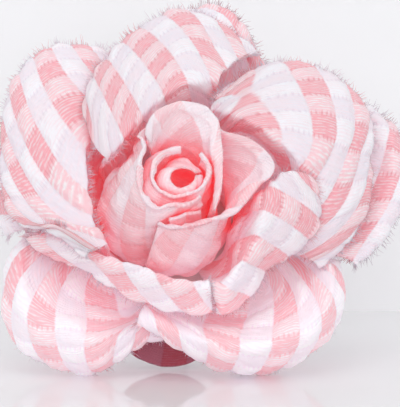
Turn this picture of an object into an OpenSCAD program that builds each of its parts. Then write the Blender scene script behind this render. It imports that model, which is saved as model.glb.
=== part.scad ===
// Fabric boutonniere: a rose of gingham cloth with raw edges, sewn to a round felt backing
// that carries a straight stick pin. It stands on its two lowest petals and the tip of the pin.
// Sizes are in millimetres.

/* [Cloth] */
// Thickness of every cloth wall
cloth_t = 1; // [1:0.05:1.2]
// Gap between a cloth root and the backing it is sewn to
seat_gap = 0.3; // [0.3:0.05:0.5]

/* [Backing] */
// Radius of the round felt backing
backing_r = 24; // [23:0.5:24.5]
// Thickness of the felt backing
backing_t = 3; // [2.5:0.5:4]
// Rounding of the backing's edge
backing_round = 1; // [0.4:0.1:1]

/* [Pin] */
// Radius of the pin's wire
pin_r = 0.6; // [0.5:0.05:0.8]
// Radius of the pin's blunt tip
tip_r = 0.3; // [0.2:0.05:0.4]
// Length of the tapered end
taper_len = 6; // [4:0.5:8]
// Radius of the foot disc that is sewn to the backing
foot_r = 5; // [4:0.5:7]
// Thickness of the foot disc
foot_t = 1.2; // [1:0.1:1.5]

/* [Pose] */
// Upward lean of the flower's axis from level, in degrees
lean = 26; // [25:0.5:30]

/* [Hidden] */

pink = [0.96, 0.70, 0.72];
pale_pink = [0.99, 0.84, 0.85];
blush = [0.97, 0.92, 0.93];
felt_white = [0.95, 0.94, 0.93];
steel = [0.72, 0.73, 0.75];

// The flower is drawn face up: +Z is its axis, from the backing's front face out to the viewer.
// Every sheet of cloth rises from its root on the backing, swells to a belly, turns over at its
// lip and ends at its raw edge. A table has one row for each fold round the flower:
// [azimuth, belly radius, lip radius, lip height, turn from lip to edge, edge radius, edge height]

// A sheet's form: [share of the lip's height at the belly, slope at the root, slope into the lip,
// slope out of the lip, slope at the edge, facets across from row to row, stops along the cloth]
// A stop is 0 at the root, 1 at the belly, 2 at the lip and 3 at the edge.
wide_stops = [0, 0.4, 0.8, 1.2, 1.6, 2, 2.25, 2.6, 3];
wrap_stops = [0, 0.4, 0.8, 1.1, 1.4, 1.7, 2, 2.5, 3];

core_rows = [
    [25, 4.5, 4.2, 26.4, 0, 3.2, 26.4],
    [74, 5.4, 3.6, 26.8, 0, 2.5, 26.9],
    [130, 5.6, 3.6, 27.1, 0, 2.5, 27.2],
    [185, 5.7, 3.7, 27.3, 0, 2.6, 27.4],
    [250, 5.2, 3.6, 27.3, 0, 2.5, 27.4],
    [305, 4.4, 3.6, 27.1, 0, 2.6, 27.2],
    [350, 4.5, 4, 26.9, 0, 3, 27],
    [373, 4.6, 4.2, 26.8, 0, 3.2, 26.8]
];
core_root = 3.2;
core_form = [0.8, [1, 6], [-2.5, 2.5], [-1, 0.8], [-1, -0.3], 2, wrap_stops];

heart_wrap_rows = [
    [92, 7.2, 6.1, 28.3, 0, 6.7, 29.3],
    [130, 7.8, 6.2, 28.8, 0, 6.8, 29.8],
    [165, 9.7, 6.3, 29.2, 0, 6.9, 30.2],
    [205, 10, 6.4, 29.4, 0, 7, 30.4],
    [245, 8.6, 5.8, 29.2, 0, 6.4, 30.2],
    [285, 6.1, 5.1, 28.7, 0, 5.7, 29.7],
    [325, 5.8, 5.3, 28.7, 0, 5.9, 29.7],
    [368, 6.2, 5.8, 28.8, 0, 6.4, 29.8],
    [410, 6.6, 6.1, 28.6, 0, 6.7, 29.6]
];
heart_wrap_root = 4.7;
heart_wrap_form = [0.8, [1, 6], [-1.2, 3.5], [0, 1.1], [0.8, 0.6], 2, wrap_stops];

tall_wrap_rows = [
    [-49.5, 9.9, 10, 28, 0, 11.1, 28.9],
    [-40, 9.1, 9.3, 28.5, 0, 10.2, 29.3],
    [-18, 8.3, 8.1, 29, 0, 9.2, 29.7],
    [10, 7.9, 7.8, 29.5, 0, 9.1, 30.2],
    [34, 8, 8.4, 30, 0, 10.7, 30.6],
    [46, 8.5, 9.5, 30.5, 0, 12.3, 31],
    [59, 9.3, 11.8, 31.5, 0, 14.5, 32],
    [75, 10, 13.5, 33, 0, 15.5, 33.4],
    [96, 10.2, 13.8, 33, 0, 15.2, 33.5],
    [112, 10.2, 13, 33, 0, 14.3, 33.5],
    [126, 10.2, 11.4, 32.5, 0, 12.8, 33.2],
    [136, 9.9, 9.8, 32, 0, 11, 32.8]
];
tall_wrap_root = 6.2;
tall_wrap_form = [0.8, [4, 5], [1, 5], [0.6, 1.2], [1.6, -0.2], 2, wrap_stops];

left_wrap_rows = [
    [124, 13.8, 13.6, 27, 0, 14.4, 28],
    [138, 14.5, 11.6, 30, 0, 12.5, 31],
    [150, 15.5, 9.2, 31, 0, 10, 32],
    [172, 17.8, 8.8, 31.5, 0, 9.7, 32.5],
    [198, 19.3, 9.2, 31.5, 0, 10.2, 32.5],
    [222, 19.3, 10, 31, 0, 11.1, 32],
    [238, 17.5, 9.8, 30.5, 0, 10.8, 31.5],
    [254, 12, 8.2, 30.5, 0, 9, 31.6],
    [284, 8.2, 7.2, 30, 0, 7.9, 31.1],
    [305, 7.3, 6.9, 29.5, 0, 7.5, 30.6]
];
left_wrap_root = 7.7;
left_wrap_form = [0.45, [5, 4], [-3, 6], [0, 1.2], [1, 0.6], 2, wrap_stops];

low_wrap_rows = [
    [-104.5, 14.6, 10.7, 28, 0, 11, 29],
    [-92, 12.6, 9.9, 28, 0, 10.2, 29],
    [-78, 11.5, 9.4, 28, 0, 9.7, 29],
    [-64, 10.8, 9.4, 27, 0, 9.7, 28]
];
low_wrap_root = 9.05;
low_wrap_form = [0.45, [2.6, 5], [-1, 6], [0.5, 1], [1, 1], 2, wrap_stops];

right_wrap_rows = [
    [-114, 19, 12.3, 28, 0, 12.9, 28.9],
    [-97, 19.3, 12.2, 28.5, 0, 12.9, 29.3],
    [-76, 17.8, 11.6, 28.5, 0, 12.4, 29.3],
    [-58, 14.8, 12.2, 28, 0, 13, 28.9],
    [-36, 11.3, 13.2, 27.3, 0, 14.8, 28.2],
    [-17, 10.9, 13.8, 26.8, 0, 15.7, 27.6],
    [-6, 10.9, 15.6, 26.8, 0, 17.4, 27.4],
    [1, 10.9, 17.6, 26.6, 0, 19.6, 27.2],
    [10, 10.9, 18.4, 27.3, 0, 20.6, 27.9],
    [27, 10.9, 16, 28.4, 0, 17.8, 29],
    [48, 11.6, 13.6, 27.5, 0, 14.4, 28.3],
    [66, 14.2, 15, 26, 0, 15.5, 27]
];
right_wrap_root = 10.6;
right_wrap_form = [0.65, [3.2, 5], [1, 4], [0.7, 1], [1.3, 0.3], 2, wrap_stops];

petal_low_right_rows = [
    [-74, 20.7, 24, 22.5, 0, 28, 15],
    [-66, 20.8, 25, 24, -5, 29, 15],
    [-54, 18.5, 22.5, 25, -4, 28, 15.5],
    [-43, 15, 21.3, 25.5, 2, 26, 16],
    [-29, 13, 20, 27, 5, 30, 18],
    [-10, 13.5, 19.5, 28, -1, 31.5, 21],
    [3, 17, 22.5, 28, -2, 28.5, 26.5]
];
petal_low_right_root = 12.3;
petal_low_right_form = [0.5, [3, 6], [2, 0], [6, 2], [2, -8], 3, wide_stops];

petal_right_rows = [
    [-27, 25, 27, 13, 1, 34, 11],
    [-20, 25, 28, 16, 4, 38, 12],
    [-10, 25, 28.5, 20.5, 8, 42, 13.5],
    [2, 24.5, 27.2, 25, 12, 44.5, 15],
    [14, 22.5, 24.8, 28, 13, 48, 15],
    [31, 20, 21.6, 28.5, 13, 46, 16],
    [50, 17.8, 19, 28.5, 10, 37, 18],
    [69, 17, 18.5, 26, 0, 21.4, 24]
];
petal_right_root = 13.8;
petal_right_form = [0.5, [2, 8], [2, 0], [10, 2], [4, -12], 3, wide_stops];

petal_top_rows = [
    [71, 21, 25, 28, -6, 41.5, 13],
    [88, 20, 21.5, 30, 0, 48, 15],
    [106, 18, 18.5, 30, -2, 43.5, 17],
    [127, 17.5, 16.5, 29, -12, 38.5, 19],
    [151, 19, 16, 28, -20, 33, 22],
    [162, 19.4, 18, 26.3, -20, 28, 24.2]
];
petal_top_root = 15.1;
petal_top_form = [0.5, [2, 8], [2, 0], [8, 3], [4, -12], 3, wide_stops];

petal_left_rows = [
    [122, 24, 27, 18, -10, 41, 10],
    [138, 24, 27, 22, -14, 49, 12],
    [153, 22.5, 24, 24, -18, 51, 13],
    [169, 21.5, 22, 25, -20, 48, 14],
    [186, 21.5, 21, 25, -20, 43, 14],
    [203, 21.5, 21.5, 24.5, -14, 38, 17.5],
    [212, 21.5, 21.8, 24.8, -11, 30.5, 22.8],
    [221, 21.2, 21.8, 24, -1, 27, 24.2]
];
petal_left_root = 16.55;
petal_left_form = [0.55, [2, 8], [1.5, 0], [10, 1], [4, -12], 3, wide_stops];

petal_low_left_rows = [
    [199, 26.5, 29, 19.5, -4, 36.5, 14],
    [206, 24.5, 28, 22, -5, 34.5, 14.3],
    [226, 23, 24, 24, -5, 27.5, 16.5],
    [246, 22.5, 22, 25, -3, 26.3, 15.7],
    [267, 22, 23, 25, 0, 26.8, 15.5],
    [284.5, 21.5, 23.5, 23, -0.5, 28, 15]
];
petal_low_left_root = 18;
petal_low_left_form = [0.5, [2, 8], [2, 0], [5, 1], [0, -8], 3, wide_stops];

outer_low_right_rows = [
    [251, 24, 28, 14, 0, 29.5, 11],
    [263, 25, 30, 15, 0, 30.5, 7],
    [276, 26.5, 34, 17, 0, 34.5, 4],
    [291, 28, 38, 17.5, 1, 39.8, 1],
    [306, 29, 41, 17, 1, 42.5, 1],
    [320, 29, 41, 16, 0, 43.5, 3],
    [332, 28, 38, 12, 0, 41, 4],
    [341, 26, 34, 8, 0, 37, 4]
];
outer_low_right_root = 19.45;
outer_low_right_form = [0.4, [2, 4], [8, 4], [7, -1], [-6, -8], 3, wide_stops];

outer_top_rows = [
    [54, 25, 34, 8, 0, 39, 7],
    [66, 27, 40, 11, 0, 43.5, 9],
    [78, 29, 47, 13, 0, 52, 10],
    [90, 29, 46, 13, 0, 51, 9],
    [104, 27, 40, 11, 0, 44, 7],
    [118, 25, 34, 8, 0, 38, 5]
];
outer_top_root = 19.5;
outer_top_form = [0.4, [2, 4], [8, 4], [5, 0], [1, -5], 3, wide_stops];

outer_low_left_rows = [
    [190, 28, 34, 10, -2, 35, 6],
    [199, 29, 38, 12, -3, 40, 4],
    [210, 29, 41, 14, -3, 45.5, 2],
    [221, 29, 42, 15, -2, 48, 1],
    [232, 29, 40, 15, -1, 45.2, 1],
    [241, 28, 38, 14, 0, 42.2, 1],
    [248, 27, 33.5, 11, 0, 36.5, 3],
    [254, 25, 28, 7, 0, 31, 2],
    [264, 24.3, 26, 4, 0, 28.6, 1]
];
outer_low_left_root = 21.25;
outer_low_left_form = [0.4, [2, 4], [8, 4], [9, -1], [-6, -8], 3, wide_stops];

outer_right_rows = [
    [-17, 27, 38, 7, 0, 41, 4],
    [-8, 28, 43, 9, 0, 46, 5],
    [4, 30, 48, 10, 0, 51, 5],
    [22, 30, 51, 10, 0, 54, 4],
    [36, 30, 47, 8, 0, 49.5, 3],
    [48, 28, 42, 6, 0, 45, 1]
];
outer_right_root = 22.3;
outer_right_form = [0.4, [2, 4], [8, 4], [5, -1], [-4, -8], 3, wide_stops];

outer_left_rows = [
    [128, 26, 34, 6, 0, 38, 2],
    [146, 28, 40, 8, 0, 44, 3],
    [163, 29, 42, 9, 0, 46, 4],
    [176, 29, 40, 8, 0, 44, 3],
    [186.2, 28, 37, 6, 0, 41, 1]
];
outer_left_root = 22.3;
outer_left_form = [0.4, [2, 4], [8, 4], [5, -1], [-2, -6], 3, wide_stops];

// This one is sewn to the back face, and its heights are measured backwards from there
under_petal_rows = [
    [238, 24, 26.5, 1.2, 0, 28, 1.5],
    [246, 25, 29, 1.5, 0, 32, 1.5],
    [256, 26, 31, 1.8, 0, 33.6, 1.5],
    [266, 26, 31, 1.8, 0, 33.6, 1.5],
    [276, 25, 29, 1.5, 0, 32, 1.5],
    [284, 24, 26.5, 1.2, 0, 28, 1.5]
];
under_petal_root = 20;
under_petal_form = [0.5, [4, 1], [3, 0], [2, 0], [2, 0], 2, wrap_stops];

// Smooth cubic from a to b that leaves a along ta and reaches b along tb
function cubic(a, b, ta, tb, f) =
    a * (2 * f^3 - 3 * f^2 + 1) + ta * (f^3 - 2 * f^2 + f)
    + b * (3 * f^2 - 2 * f^3) + tb * (f^3 - f^2);

// A table's row at place u across the sheet, smooth from row to row
function row_at(rows, u) =
    let (n = len(rows), i = min(floor(u), n - 2), f = u - i, b = rows[i], c = rows[i + 1],
         a = i == 0 ? 2 * b - c : rows[i - 1], d = i == n - 2 ? 2 * c - b : rows[i + 2])
    b + 0.5 * f * (c - a + f * (2 * a - 5 * b + 4 * c - d + f * (3 * (b - c) + d - a)));

// Height of a root whose lower corner stands the seat gap above the backing
function root_z(rise) = seat_gap + cloth_t / 2 * rise[0] / norm(rise);

// Radius and height of the cloth's middle at stop t of row r
function section(r, root_r, form, t) =
    let (root = [root_r, root_z(form[1])],
         belly = [r[1], root[1] + (r[3] - root[1]) * form[0]],
         lip = [r[2], r[3]],
         edge = [r[5], r[6]],
         swell = (lip - root) / 2)
    t < 1 ? cubic(root, belly, form[1], swell, t)
    : t < 2 ? cubic(belly, lip, swell, form[2], t - 1)
    : cubic(lip, edge, form[3], form[4], t - 2);

// Point of the cloth's middle at place u across and stop t along
function mid_point(rows, root_r, form, u, t) =
    let (r = row_at(rows, u), q = section(r, root_r, form, t), f = max(0, t - 2),
         az = r[0] + r[4] * (3 * f^2 - 2 * f^3))
    [q[0] * cos(az), q[0] * sin(az), q[1]];

// Direction square to the cloth at the same place
function square_to(rows, root_r, form, u, t) =
    let (h = 0.002, n = len(rows) - 1,
         du = mid_point(rows, root_r, form, min(u + h, n), t)
            - mid_point(rows, root_r, form, max(u - h, 0), t),
         dt = mid_point(rows, root_r, form, u, min(t + h, 3))
            - mid_point(rows, root_r, form, u, max(t - h, 0)),
         c = cross(du, dt))
    c / norm(c);

// The sheet's middle points and square directions, place by place and stop by stop
function mid_grid(rows, root_r, form) =
    let (last = (len(rows) - 1) * form[5])
    [for (i = [0 : last], t = form[6]) mid_point(rows, root_r, form, i / form[5], t)];
function square_grid(rows, root_r, form) =
    let (last = (len(rows) - 1) * form[5])
    [for (i = [0 : last], t = form[6]) square_to(rows, root_r, form, i / form[5], t)];

// A wall of cloth: both faces of the sheet, closed round its rim
module sheet(rows, root_r, form) {
    across = (len(rows) - 1) * form[5] + 1;
    along = len(form[6]);
    count = across * along;
    mid = mid_grid(rows, root_r, form);
    square = square_grid(rows, root_r, form);
    upper = [for (k = [0 : count - 1]) mid[k] + square[k] * cloth_t / 2];
    lower = [for (k = [0 : count - 1]) mid[k] - square[k] * cloth_t / 2];
    cells = [for (i = [0 : across - 2], j = [0 : along - 2]) i * along + j];
    rim = concat([for (i = [0 : across - 1]) i * along],
                 [for (j = [1 : along - 1]) (across - 1) * along + j],
                 [for (i = [across - 2 : -1 : 0]) i * along + along - 1],
                 [for (j = [along - 2 : -1 : 1]) j]);
    rim_count = len(rim);
    polyhedron(
        points = concat(upper, lower),
        faces = concat(
            [for (k = cells) [k, k + along + 1, k + along]],
            [for (k = cells) [k, k + 1, k + along + 1]],
            [for (k = cells) [k + count, k + along + count, k + along + 1 + count]],
            [for (k = cells) [k + count, k + along + 1 + count, k + 1 + count]],
            [for (k = [0 : rim_count - 1])
                [rim[k], rim[(k + 1) % rim_count], rim[k] + count]],
            [for (k = [0 : rim_count - 1])
                [rim[(k + 1) % rim_count], rim[(k + 1) % rim_count] + count, rim[k] + count]]),
        convexity = 10);
}

// Both faces of a sheet, as loose points
function face_points(rows, root_r, form) =
    let (mid = mid_grid(rows, root_r, form), square = square_grid(rows, root_r, form))
    concat(mid + square * cloth_t / 2, mid - square * cloth_t / 2);

// How far the cloth reaches in the leaning pose, measured from the middle of the backing's face
function rise_of(p) = p[1] * cos(lean) + p[2] * sin(lean);
function depth_of(p) = p[1] * sin(lean) - p[2] * cos(lean);
low_points = concat(
    face_points(outer_low_left_rows, outer_low_left_root, outer_low_left_form),
    face_points(outer_low_right_rows, outer_low_right_root, outer_low_right_form));
front_points = face_points(petal_low_left_rows, petal_low_left_root, petal_low_left_form);
left_points = face_points(outer_left_rows, outer_left_root, outer_left_form);
right_points = face_points(outer_right_rows, outer_right_root, outer_right_form);
bottom_reach = min([for (p = low_points) rise_of(p)]);
front_reach = min([for (p = front_points) depth_of(p)]);
left_reach = min([for (p = left_points) p[0]]);
right_reach = max([for (p = right_points) p[0]]);

// The pin's blunt tip comes down to the level of the lowest cloth
tip_z = (bottom_reach + tip_r * cos(lean)) / sin(lean);
back_reach = tip_r * sin(lean) - tip_z * cos(lean);
foot_z = -backing_t - seat_gap - foot_t;

// Puts a face-up piece in the leaning pose, on the table and centred over the origin
module posed() {
    translate([-(left_reach + right_reach) / 2, -(front_reach + back_reach) / 2, -bottom_reach])
        rotate([90 - lean, 0, 0])
            children();
}

module backing() {
    color(felt_white)
        posed()
            rotate_extrude($fn = 72)
                union() {
                    translate([0, -backing_t])
                        square([backing_r - backing_round, backing_t]);
                    translate([0, -backing_t + backing_round])
                        square([backing_r, backing_t - 2 * backing_round]);
                    for (y = [-backing_round, -backing_t + backing_round])
                        translate([backing_r - backing_round, y])
                            circle(r = backing_round, $fn = 24);
                }
}

module pin() {
    color(steel)
        posed()
            rotate_extrude($fn = 48)
                polygon([[0, tip_z], [tip_r, tip_z], [pin_r, tip_z + taper_len], [pin_r, foot_z],
                         [foot_r, foot_z], [foot_r, foot_z + foot_t], [0, foot_z + foot_t]]);
}

module core() {
    color(pink) posed() sheet(core_rows, core_root, core_form);
}

module heart_wrap() {
    color(pink) posed() sheet(heart_wrap_rows, heart_wrap_root, heart_wrap_form);
}

module left_wrap() {
    color(pale_pink) posed() sheet(left_wrap_rows, left_wrap_root, left_wrap_form);
}

module low_wrap() {
    color(pink) posed() sheet(low_wrap_rows, low_wrap_root, low_wrap_form);
}

module tall_wrap() {
    color(blush) posed() sheet(tall_wrap_rows, tall_wrap_root, tall_wrap_form);
}

module right_wrap() {
    color(pink) posed() sheet(right_wrap_rows, right_wrap_root, right_wrap_form);
}

module petal_left() {
    color(blush) posed() sheet(petal_left_rows, petal_left_root, petal_left_form);
}

module petal_low_left() {
    color(pink) posed() sheet(petal_low_left_rows, petal_low_left_root, petal_low_left_form);
}

module petal_top() {
    color(pale_pink) posed() sheet(petal_top_rows, petal_top_root, petal_top_form);
}

module petal_right() {
    color(blush) posed() sheet(petal_right_rows, petal_right_root, petal_right_form);
}

module petal_low_right() {
    color(pale_pink)
        posed()
            sheet(petal_low_right_rows, petal_low_right_root, petal_low_right_form);
}

module outer_low_left() {
    color(pale_pink) posed() sheet(outer_low_left_rows, outer_low_left_root, outer_low_left_form);
}

module outer_low_right() {
    color(blush)
        posed()
            sheet(outer_low_right_rows, outer_low_right_root, outer_low_right_form);
}

module outer_right() {
    color(pink) posed() sheet(outer_right_rows, outer_right_root, outer_right_form);
}

module outer_top() {
    color(pink) posed() sheet(outer_top_rows, outer_top_root, outer_top_form);
}

module outer_left() {
    color(pink) posed() sheet(outer_left_rows, outer_left_root, outer_left_form);
}

module under_petal() {
    color(pink)
        posed()
            translate([0, 0, -backing_t])
                mirror([0, 0, 1])
                    sheet(under_petal_rows, under_petal_root, under_petal_form);
}

backing();
pin();
core();
heart_wrap();
left_wrap();
low_wrap();
tall_wrap();
right_wrap();
petal_left();
petal_low_left();
petal_top();
petal_right();
petal_low_right();
outer_low_left();
outer_low_right();
outer_right();
outer_top();
outer_left();
under_petal();
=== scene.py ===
# Fabric boutonniere: the looks of a gingham rose that stands on its lowest petals and its pin.
import math

import bpy
import numpy as np
from mathutils import Matrix, Vector


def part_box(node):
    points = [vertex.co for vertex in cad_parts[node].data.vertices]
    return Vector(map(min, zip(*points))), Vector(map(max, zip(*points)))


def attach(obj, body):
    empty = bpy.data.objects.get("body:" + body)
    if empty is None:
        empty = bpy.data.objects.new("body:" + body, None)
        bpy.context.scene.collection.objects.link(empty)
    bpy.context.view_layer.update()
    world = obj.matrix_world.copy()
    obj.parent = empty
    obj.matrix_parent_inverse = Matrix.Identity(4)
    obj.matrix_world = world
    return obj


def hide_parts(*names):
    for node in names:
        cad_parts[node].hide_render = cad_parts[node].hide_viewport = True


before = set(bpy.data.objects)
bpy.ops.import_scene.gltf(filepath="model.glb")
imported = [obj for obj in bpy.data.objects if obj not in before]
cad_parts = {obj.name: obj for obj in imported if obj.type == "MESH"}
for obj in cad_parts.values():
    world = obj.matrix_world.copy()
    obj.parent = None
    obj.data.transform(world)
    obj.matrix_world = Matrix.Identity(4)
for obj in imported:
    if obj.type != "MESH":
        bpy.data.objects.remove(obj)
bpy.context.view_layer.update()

# Sizes, in millimetres unless a name says otherwise
MM = 0.001
LEAN = math.radians(26)
BACKING_R = 24.0
BACKING_T = 3.0
FOOT_R = 5.0
FOOT_T = 1.2
SEAT_GAP = 0.3
CAD_WALL = 1.0
CLOTH_T = 0.7
STRIPE_W = 6.0
CHECK_H = 5.2
MESH_STEP = 0.45
TABLE_CLEARANCE = 0.02

# The cloth's relief: puffed checks, crinkles and soft folds, and how far it takes to rise from
# the root, where the cloth is held flat
PUFF = 0.85
CRINKLE = 0.10
SOFT_FOLD = 0.12
RISE_OVER = 8.0

# Threads of a raw border: how far apart, the longest, and how far they lift off the cloth's plane
ROLLED_BORDER = dict(spacing=0.3, longest=0.9, lift=0)
PETAL_BORDER = dict(spacing=0.22, longest=2.3, lift=0.9)
LONGEST_ON_LIP = 2.1
ROLLED_THREAD_R = 0.05
PETAL_THREAD_R = 0.065
STITCH_R = 0.2

# Samples along a line that is measured before it is divided evenly
FINE = 400

# The flower's frame: its axis is z, and its middle lies on the backing's front face
FACE_UP = np.array(
    [
        [1.0, 0.0, 0.0],
        [0.0, math.sin(LEAN), -math.cos(LEAN)],
        [0.0, math.cos(LEAN), math.sin(LEAN)],
    ]
)
backing_low, backing_high = (np.array(corner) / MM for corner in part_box("backing"))
ORIGIN = (backing_low + backing_high) / 2 + FACE_UP @ [0, 0, BACKING_T / 2]

# From the flower to a viewer who stands level with it, in the flower's frame
FRONT = np.array([0.0, -math.sin(LEAN), math.cos(LEAN)])


def in_row_frame(points):
    """Points of the flower's frame, in millimetres, as points of the row frame in metres."""
    return (np.asarray(points) @ FACE_UP.T + ORIGIN) * MM


# Sheets of cloth. A table has one row for each fold round the flower, with these columns:
# azimuth, belly radius, lip radius, lip height, turn from lip to edge, edge radius, edge height
# "root" is the root's radius. "form" is the share of the lip's height at the belly, then the
# slopes at the root, into the lip, out of the lip and at the edge. "grain" is the angle of the
# stripes on the cut cloth, in degrees. "bend" holds the three factors by which the pulled cloth
# curves them, in hundredths for each millimetre: with the square of the way across, with across
# times along, and with the square of the way along. "shift" moves the pattern across and along,
# in checks.
SHEETS = {}
SHEETS["core"] = dict(
    root=3.2, grain=-25, bend=(0.4, 0.2, 0), shift=(1.58, 1.95),
    form=(0.8, (1, 6), (-2.5, 2.5), (-1, 0.8), (-1, -0.3)),
    rows=[
        (25, 4.5, 4.2, 26.4, 0, 3.2, 26.4),
        (74, 5.4, 3.6, 26.8, 0, 2.5, 26.9),
        (130, 5.6, 3.6, 27.1, 0, 2.5, 27.2),
        (185, 5.7, 3.7, 27.3, 0, 2.6, 27.4),
        (250, 5.2, 3.6, 27.3, 0, 2.5, 27.4),
        (305, 4.4, 3.6, 27.1, 0, 2.6, 27.2),
        (350, 4.5, 4, 26.9, 0, 3, 27),
        (373, 4.6, 4.2, 26.8, 0, 3.2, 26.8),
    ],
)
SHEETS["heart_wrap"] = dict(
    root=4.7, grain=2, bend=(0.5, 0.7, 0.5), shift=(0.3, 1.94),
    form=(0.8, (1, 6), (-1.2, 3.5), (0, 1.1), (0.8, 0.6)),
    rows=[
        (92, 7.2, 6.1, 28.3, 0, 6.7, 29.3),
        (130, 7.8, 6.2, 28.8, 0, 6.8, 29.8),
        (165, 9.7, 6.3, 29.2, 0, 6.9, 30.2),
        (205, 10, 6.4, 29.4, 0, 7, 30.4),
        (245, 8.6, 5.8, 29.2, 0, 6.4, 30.2),
        (285, 6.1, 5.1, 28.7, 0, 5.7, 29.7),
        (325, 5.8, 5.3, 28.7, 0, 5.9, 29.7),
        (368, 6.2, 5.8, 28.8, 0, 6.4, 29.8),
        (410, 6.6, 6.1, 28.6, 0, 6.7, 29.6),
    ],
)
SHEETS["tall_wrap"] = dict(
    root=6.2, grain=-57, bend=(1.3, -0.2, -0.7), shift=(1.06, 0.38),
    form=(0.8, (4, 5), (1, 5), (0.6, 1.2), (1.6, -0.2)),
    rows=[
        (-49.5, 9.9, 10, 28, 0, 11.1, 28.9),
        (-40, 9.1, 9.3, 28.5, 0, 10.2, 29.3),
        (-18, 8.3, 8.1, 29, 0, 9.2, 29.7),
        (10, 7.9, 7.8, 29.5, 0, 9.1, 30.2),
        (34, 8, 8.4, 30, 0, 10.7, 30.6),
        (46, 8.5, 9.5, 30.5, 0, 12.3, 31),
        (59, 9.3, 11.8, 31.5, 0, 14.5, 32),
        (75, 10, 13.5, 33, 0, 15.5, 33.4),
        (96, 10.2, 13.8, 33, 0, 15.2, 33.5),
        (112, 10.2, 13, 33, 0, 14.3, 33.5),
        (126, 10.2, 11.4, 32.5, 0, 12.8, 33.2),
        (136, 9.9, 9.8, 32, 0, 11, 32.8),
    ],
)
SHEETS["left_wrap"] = dict(
    root=7.7, grain=32, bend=(-0.2, -0.2, -0.1), shift=(0.65, 0.87),
    form=(0.45, (5, 4), (-3, 6), (0, 1.2), (1, 0.6)),
    rows=[
        (124, 13.8, 13.6, 27, 0, 14.4, 28),
        (138, 14.5, 11.6, 30, 0, 12.5, 31),
        (150, 15.5, 9.2, 31, 0, 10, 32),
        (172, 17.8, 8.8, 31.5, 0, 9.7, 32.5),
        (198, 19.3, 9.2, 31.5, 0, 10.2, 32.5),
        (222, 19.3, 10, 31, 0, 11.1, 32),
        (238, 17.5, 9.8, 30.5, 0, 10.8, 31.5),
        (254, 12, 8.2, 30.5, 0, 9, 31.6),
        (284, 8.2, 7.2, 30, 0, 7.9, 31.1),
        (305, 7.3, 6.9, 29.5, 0, 7.5, 30.6),
    ],
)
SHEETS["low_wrap"] = dict(
    root=9.05, grain=0, bend=(0, 0, 0), shift=(0, 0),
    form=(0.45, (2.6, 5), (-1, 6), (0.5, 1), (1, 1)),
    rows=[
        (-104.5, 14.6, 10.7, 28, 0, 11, 29),
        (-92, 12.6, 9.9, 28, 0, 10.2, 29),
        (-78, 11.5, 9.4, 28, 0, 9.7, 29),
        (-64, 10.8, 9.4, 27, 0, 9.7, 28),
    ],
)
SHEETS["right_wrap"] = dict(
    root=10.6, grain=-43, bend=(-0.4, -0.7, 0), shift=(0.73, 0.25),
    form=(0.65, (3.2, 5), (1, 4), (0.7, 1), (1.3, 0.3)),
    rows=[
        (-114, 19, 12.3, 28, 0, 12.9, 28.9),
        (-97, 19.3, 12.2, 28.5, 0, 12.9, 29.3),
        (-76, 17.8, 11.6, 28.5, 0, 12.4, 29.3),
        (-58, 14.8, 12.2, 28, 0, 13, 28.9),
        (-36, 11.3, 13.2, 27.3, 0, 14.8, 28.2),
        (-17, 10.9, 13.8, 26.8, 0, 15.7, 27.6),
        (-6, 10.9, 15.6, 26.8, 0, 17.4, 27.4),
        (1, 10.9, 17.6, 26.6, 0, 19.6, 27.2),
        (10, 10.9, 18.4, 27.3, 0, 20.6, 27.9),
        (27, 10.9, 16, 28.4, 0, 17.8, 29),
        (48, 11.6, 13.6, 27.5, 0, 14.4, 28.3),
        (66, 14.2, 15, 26, 0, 15.5, 27),
    ],
)
SHEETS["petal_low_right"] = dict(
    root=12.3, grain=-6, bend=(0.6, -0.2, 0), shift=(0.9, 1.89),
    form=(0.5, (3, 6), (2, 0), (6, 2), (2, -8)),
    rows=[
        (-74, 20.7, 24, 22.5, 0, 28, 15),
        (-66, 20.8, 25, 24, -5, 29, 15),
        (-54, 18.5, 22.5, 25, -4, 28, 15.5),
        (-43, 15, 21.3, 25.5, 2, 26, 16),
        (-29, 13, 20, 27, 5, 30, 18),
        (-10, 13.5, 19.5, 28, -1, 31.5, 21),
        (3, 17, 22.5, 28, -2, 28.5, 26.5),
    ],
)
SHEETS["petal_right"] = dict(
    root=13.8, grain=-53, bend=(0.5, -0.6, -0.2), shift=(0.21, 0.88),
    form=(0.5, (2, 8), (2, 0), (10, 2), (4, -12)),
    rows=[
        (-27, 25, 27, 13, 1, 34, 11),
        (-20, 25, 28, 16, 4, 38, 12),
        (-10, 25, 28.5, 20.5, 8, 42, 13.5),
        (2, 24.5, 27.2, 25, 12, 44.5, 15),
        (14, 22.5, 24.8, 28, 13, 48, 15),
        (31, 20, 21.6, 28.5, 13, 46, 16),
        (50, 17.8, 19, 28.5, 10, 37, 18),
        (69, 17, 18.5, 26, 0, 21.4, 24),
    ],
)
SHEETS["petal_top"] = dict(
    root=15.1, grain=-21, bend=(0.1, 0.2, -0.4), shift=(0.01, 0.74),
    form=(0.5, (2, 8), (2, 0), (8, 3), (4, -12)),
    rows=[
        (71, 21, 25, 28, -6, 41.5, 13),
        (88, 20, 21.5, 30, 0, 48, 15),
        (106, 18, 18.5, 30, -2, 43.5, 17),
        (127, 17.5, 16.5, 29, -12, 38.5, 19),
        (151, 19, 16, 28, -20, 33, 22),
        (162, 19.4, 18, 26.3, -20, 28, 24.2),
    ],
)
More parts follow.
